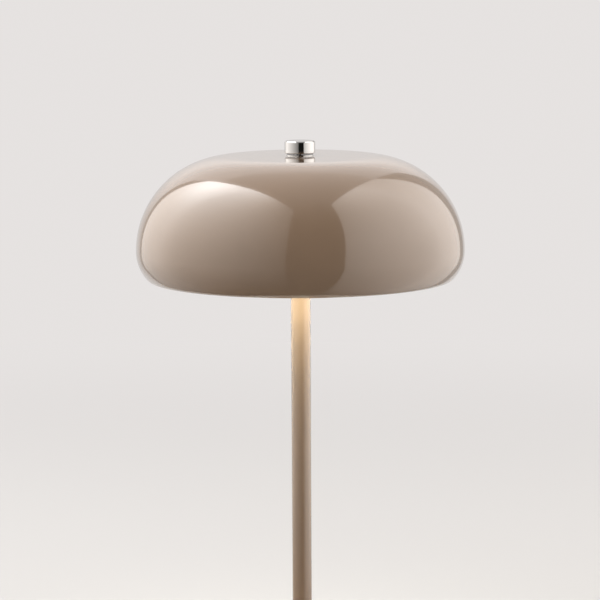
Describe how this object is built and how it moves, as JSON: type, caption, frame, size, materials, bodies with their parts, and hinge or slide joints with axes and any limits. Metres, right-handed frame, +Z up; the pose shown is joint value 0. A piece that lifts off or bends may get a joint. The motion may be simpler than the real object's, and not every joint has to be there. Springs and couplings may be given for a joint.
{
  "type": "table lamp",
  "caption": "Cordless table lamp with a glossy mushroom-shaped metal shade, a slim stem, a weighted round base and a press-and-turn dimmer knob on top.",
  "frame": {"origin": "middle of the round footprint, on the surface that the lamp stands on", "axes": "+Z up along the stem, +Y to the rear, where the charging port is, +X to the right seen from the front"},
  "size_m": [0.2, 0.2, 0.34],
  "materials": {
    "lacquer": "gloss",
    "chrome": "polished",
    "steel": "satin",
    "dark_steel": "satin",
    "aluminium": "satin",
    "white_metal": "satin",
    "cast_iron": "matte",
    "black_plastic": "matte",
    "white_board": "satin",
    "green_board": "satin",
    "led": "satin",
    "opal": "satin",
    "wire": "matte",
    "cell_wrap": "gloss",
    "rubber": "matte",
    "clear": "gloss"
  },
  "bodies": {
    "lamp": {"knob_collar": "chrome", "dimmer_housing": "steel", "dimmer_base": "black_plastic", "click_dome": "steel", "dimmer_washer": "steel", "dimmer_nut": "steel", "shade": "lacquer", "hub_gasket": "rubber", "shade_hub": "aluminium", "hub_grub_screws": "dark_steel", "stem_column": "white_metal", "led_tray": "white_metal", "led_board": "white_board", "led_chips": "led", "tray_screws": "steel", "diffuser": "opal", "diffuser_nut": "white_metal", "led_leads": "wire", "stem_tube": "lacquer", "stem_cable": "wire", "stem_foot": "lacquer", "base_shell": "lacquer", "base_weight": "cast_iron", "stem_washer": "steel", "stem_nut": "steel", "battery_cell_left": "cell_wrap", "battery_cell_right": "cell_wrap", "battery_contacts": "steel", "base_plate": "black_plastic", "base_screws": "dark_steel", "foot_ring": "rubber", "control_board": "green_board", "board_parts": "black_plastic", "board_screws": "steel", "charge_socket": "steel", "port_liner": "black_plastic", "charge_lens": "clear"},
    "rotor": {"dimmer_rotor": "black_plastic"},
    "knob": {"knob_cap": "chrome", "knob_shaft": "steel"}
  },
  "joints": [
    {"name": "dimmer_turn", "type": "hinge", "parent": "lamp", "child": "rotor", "pos_m": [0, 0, 0.3155], "axis": [0, 0, 1], "continuous": true},
    {"name": "dimmer_press", "type": "slide", "parent": "rotor", "child": "knob", "axis": [0, 0, -1], "range_m": [0, 0.0005], "stiffness_N_per_m": 5000, "springref_m": -0.0003}
  ]
}
